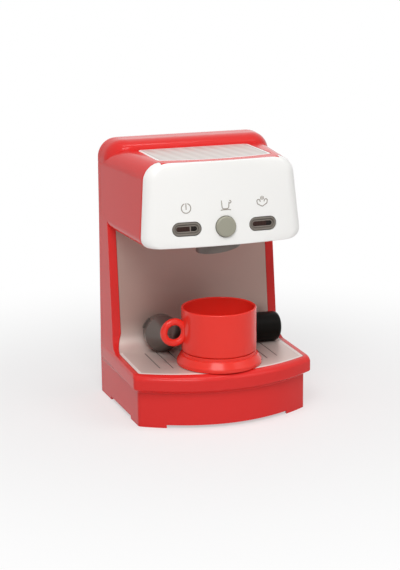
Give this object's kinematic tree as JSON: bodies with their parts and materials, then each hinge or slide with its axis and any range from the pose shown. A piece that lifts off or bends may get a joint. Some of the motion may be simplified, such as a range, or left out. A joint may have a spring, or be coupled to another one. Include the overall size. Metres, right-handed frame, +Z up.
{
  "type": "toy coffee maker",
  "caption": "Toy espresso machine with three spring buttons, a drip tray, a cup on a saucer, a loose filter holder and a battery compartment.",
  "frame": {"origin": "middle of the overall box at the surface that the feet stand on", "axes": "+X to the right as seen from the front, +Y to the back, +Z up"},
  "size_m": [0.174, 0.15, 0.2518],
  "materials": {
    "red_plastic": "glossy",
    "white_plastic": "satin gloss",
    "silver_plastic": "satin silver",
    "pale_plate": "satin, striped",
    "warm_grey": "satin",
    "bezel_grey": "satin",
    "dark_grey": "satin",
    "black_plastic": "satin",
    "smoked_lens": "gloss, smoked red",
    "board_green": "satin",
    "clear_red": "gloss",
    "silicone": "matt",
    "steel": "plated",
    "cone_paper": "matt",
    "cell_blue": "gloss sleeve",
    "wire_red": "satin",
    "wire_black": "satin",
    "wire_grey": "satin"
  },
  "bodies": {
    "casing": {"body_shell": "red_plastic", "back_cover": "red_plastic", "bottom_cover": "red_plastic", "tray_and_splash_plate": "silver_plastic", "top_plate": "pale_plate", "front_panel": "white_plastic", "group_collar": "dark_grey", "back_screw_1": "steel", "back_screw_2": "steel", "back_screw_3": "steel", "back_screw_4": "steel", "bottom_screw_1": "steel", "bottom_screw_2": "steel", "bottom_screw_3": "steel", "bottom_screw_4": "steel", "circuit_board": "board_green", "coffee_dome": "silicone", "power_dome": "silicone", "steam_dome": "silicone", "power_led": "clear_red", "steam_led": "clear_red", "board_screw_1": "steel", "board_screw_2": "steel", "board_screw_3": "steel", "board_screw_4": "steel", "battery_box": "dark_grey", "battery_left": "cell_blue", "battery_right": "cell_blue", "contact_plate_low": "steel", "contact_plate_high": "steel", "contact_coil_left": "steel", "contact_coil_right": "steel", "speaker_frame": "steel", "speaker_cone": "cone_paper", "power_lead_red": "wire_red", "power_lead_black": "wire_black", "speaker_lead": "wire_grey"},
    "coffee_button": {"coffee_button": "warm_grey"},
    "power_button": {"power_button": "bezel_grey", "power_lens": "smoked_lens"},
    "steam_button": {"steam_button": "bezel_grey", "steam_lens": "smoked_lens"},
    "battery_door": {"battery_door": "red_plastic", "door_screw": "steel"},
    "saucer": {"saucer": "red_plastic"},
    "cup": {"cup": "red_plastic"},
    "filter_holder": {"holder_bowl": "dark_grey", "holder_nozzle": "dark_grey", "holder_grip": "black_plastic", "holder_cap": "black_plastic", "holder_screw": "steel"}
  },
  "joints": [
    {"name": "coffee_button_press", "type": "slide", "parent": "casing", "child": "coffee_button", "axis": [0, 0.9958, -0.0915], "range_m": [0, 0.0025], "stiffness_N_per_m": 350, "deforming": ["coffee_dome"]},
    {"name": "power_button_press", "type": "slide", "parent": "casing", "child": "power_button", "axis": [0.0732, 0.9931, -0.0912], "range_m": [0, 0.0025], "stiffness_N_per_m": 350, "deforming": ["power_dome"]},
    {"name": "steam_button_press", "type": "slide", "parent": "casing", "child": "steam_button", "axis": [-0.0732, 0.9931, -0.0912], "range_m": [0, 0.0025], "stiffness_N_per_m": 350, "deforming": ["steam_dome"]},
    {"name": "battery_door_hinge", "type": "hinge", "parent": "casing", "child": "battery_door", "pos_m": [0, 0.075, 0.0676], "axis": [-1, 0, 0], "range_deg": [0, 80]},
    {"name": "saucer_slide", "type": "slide", "parent": "casing", "child": "saucer", "axis": [0, -1, 0], "range_m": [0, 0.15]},
    {"name": "cup_lift", "type": "slide", "parent": "saucer", "child": "cup", "axis": [0, 0, 1], "range_m": [0, 0.04]},
    {"name": "filter_holder_lift", "type": "slide", "parent": "casing", "child": "filter_holder", "axis": [0, 0, 1], "range_m": [0, 0.06]}
  ]
}
